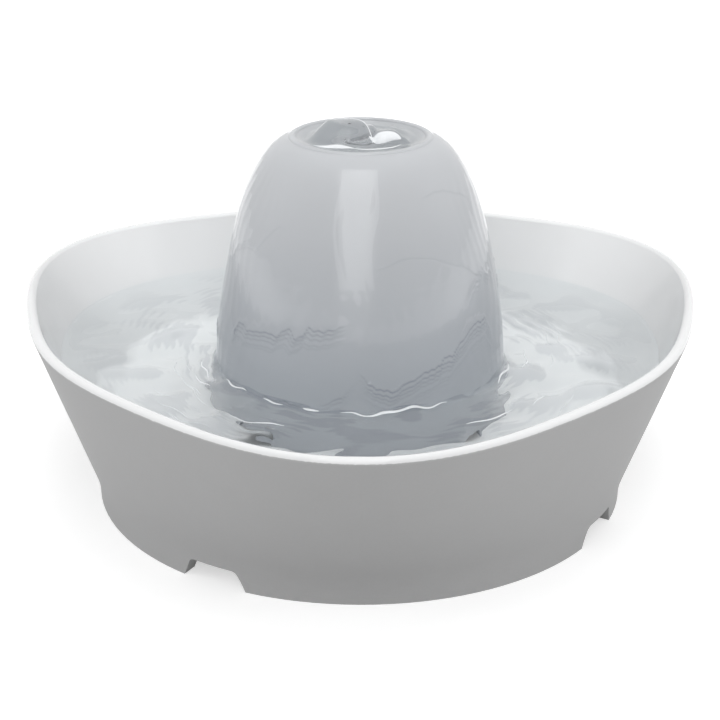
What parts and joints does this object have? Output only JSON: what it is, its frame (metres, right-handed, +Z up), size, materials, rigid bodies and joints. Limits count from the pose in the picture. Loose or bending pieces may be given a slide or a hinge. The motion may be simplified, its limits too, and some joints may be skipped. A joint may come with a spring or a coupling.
{
  "type": "pet water fountain",
  "caption": "Ceramic pet water fountain: a flared rounded-triangle bowl on a notched foot ring, with a lift-off domed tower over a filter basket and a small pump.",
  "frame": {"origin": "on the resting plane, under the middle of the bowl's outline; the tower's axis stands 9.3 mm behind it", "axes": "+Z up, -Y to the front, where one rounded corner of the rim points, +X to the right"},
  "size_m": [0.3054, 0.3081, 0.1613],
  "materials": {
    "stoneware": "glazed ceramic",
    "tower_glaze": "gloss grey glaze on ceramic",
    "seal_rubber": "satin",
    "clear_silicone": "satin",
    "basket_plastic": "satin",
    "pump_plastic": "satin",
    "foam": "open-cell foam",
    "carbon": "felt pad filled with carbon grains",
    "frame_plastic": "satin",
    "steel": "laminated",
    "copper": "enamelled copper wire",
    "epoxy": "poured resin",
    "ferrite": "sintered ferrite",
    "impeller_plastic": "satin",
    "shaft_ceramic": "polished ceramic",
    "tube_vinyl": "clear vinyl"
  },
  "bodies": {
    "bowl": {"bowl": "stoneware", "lead_seal": "seal_rubber", "filter_basket": "basket_plastic", "filter_lid": "basket_plastic", "foam_sleeve": "foam", "cartridge_frame": "frame_plastic", "carbon_pad": "carbon", "pump_housing": "pump_plastic", "stator_core": "steel", "coil_bobbin": "frame_plastic", "coil_winding": "copper", "stator_potting": "epoxy", "rotor_shaft": "shaft_ceramic", "rear_bush": "seal_rubber", "front_bush": "seal_rubber", "pump_cover": "pump_plastic", "intake_grille": "pump_plastic", "suction_cups": "clear_silicone", "riser_tube": "tube_vinyl", "outlet_nozzle": "frame_plastic"},
    "tower": {"tower": "tower_glaze", "outlet_seal": "clear_silicone"},
    "impeller": {"impeller": "impeller_plastic", "rotor_magnet": "ferrite"},
    "flow_dial": {"flow_dial": "impeller_plastic"}
  },
  "joints": [
    {"name": "tower_lift", "type": "slide", "parent": "bowl", "child": "tower", "axis": [0, 0, 1], "range_m": [0, 0.16]},
    {"name": "impeller_spin", "type": "hinge", "parent": "bowl", "child": "impeller", "pos_m": [-0.008, 0.0093, 0.042], "axis": [0, 1, 0], "continuous": true},
    {"name": "flow_dial_turn", "type": "hinge", "parent": "bowl", "child": "flow_dial", "pos_m": [-0.008, -0.0027, 0.042], "axis": [0, 1, 0], "range_deg": [0, 120]}
  ]
}
